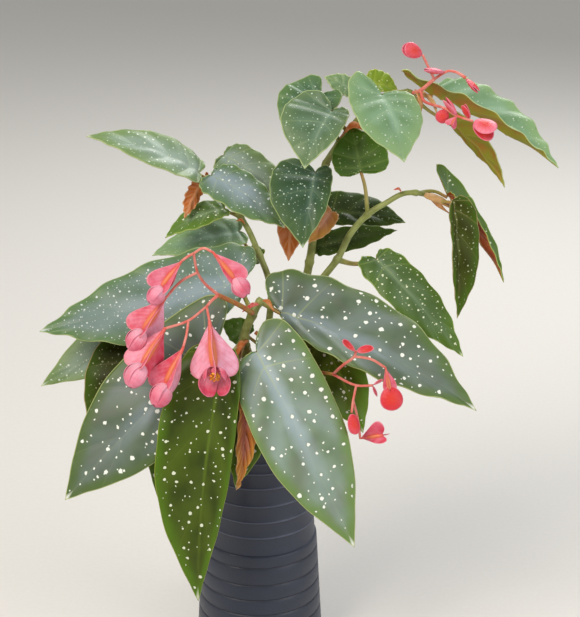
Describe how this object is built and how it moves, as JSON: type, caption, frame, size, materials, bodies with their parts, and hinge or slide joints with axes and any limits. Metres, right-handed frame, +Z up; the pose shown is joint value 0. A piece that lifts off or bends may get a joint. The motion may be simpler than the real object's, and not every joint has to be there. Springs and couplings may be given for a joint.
{
  "type": "potted cane begonia",
  "caption": "Spotted cane begonia in leaf and flower, standing in soil in a tall, slightly flared stoneware pot with fine rings.",
  "frame": {"origin": "centre of the pot's foot, on the surface it stands on", "axes": "+Z up through the plant; the side that most leaves and flowers face looks along -Y"},
  "size_m": [0.3353, 0.1654, 0.4149],
  "materials": {
    "pot": "semi-matte",
    "soil": "rough",
    "cane": "satin",
    "leaf_silver": "satin",
    "leaf_olive": "satin",
    "leaf_young": "satin",
    "flower": "satin"
  },
  "bodies": {
    "root": {"pot": "pot", "soil": "soil", "cane_front": "cane", "cane_left": "cane", "cane_middle": "cane", "cane_right": "cane", "leaf_back_right_lower": "leaf_silver", "leaf_back_right_upper": "leaf_silver", "leaf_behind_centre_left": "leaf_olive", "leaf_behind_centre_right": "leaf_olive", "leaf_behind_curled": "leaf_olive", "leaf_behind_right": "leaf_olive", "leaf_brown_back": "leaf_young", "leaf_brown_fold": "leaf_young", "leaf_centre_heart": "leaf_silver", "leaf_curled_front": "leaf_young", "leaf_curled_left": "leaf_young", "leaf_far_left": "leaf_silver", "leaf_front_centre": "leaf_olive", "leaf_front_right": "leaf_silver", "leaf_left_dark": "leaf_olive", "leaf_left_mid": "leaf_silver", "leaf_left_narrow": "leaf_silver", "leaf_left_pale": "leaf_silver", "leaf_left_second": "leaf_silver", "leaf_left_silver": "leaf_silver", "leaf_lower_left": "leaf_silver", "leaf_olive_back": "leaf_olive", "leaf_right_arm": "leaf_silver", "leaf_right_big": "leaf_silver", "leaf_right_outer": "leaf_silver", "leaf_right_vertical": "leaf_olive", "leaf_small_centre": "leaf_olive", "leaf_top_heart": "leaf_silver", "leaf_top_left_back": "leaf_silver", "leaf_top_left_heart": "leaf_silver", "leaf_top_mid": "leaf_olive", "leaf_top_right_hang": "leaf_silver", "leaf_top_right_long": "leaf_silver", "leaf_top_small": "leaf_silver", "leaf_top_yellow": "leaf_silver", "leaf_upper_left": "leaf_silver", "spray_front": "flower", "spray_right": "flower", "spray_top": "flower"}
  },
  "joints": []
}
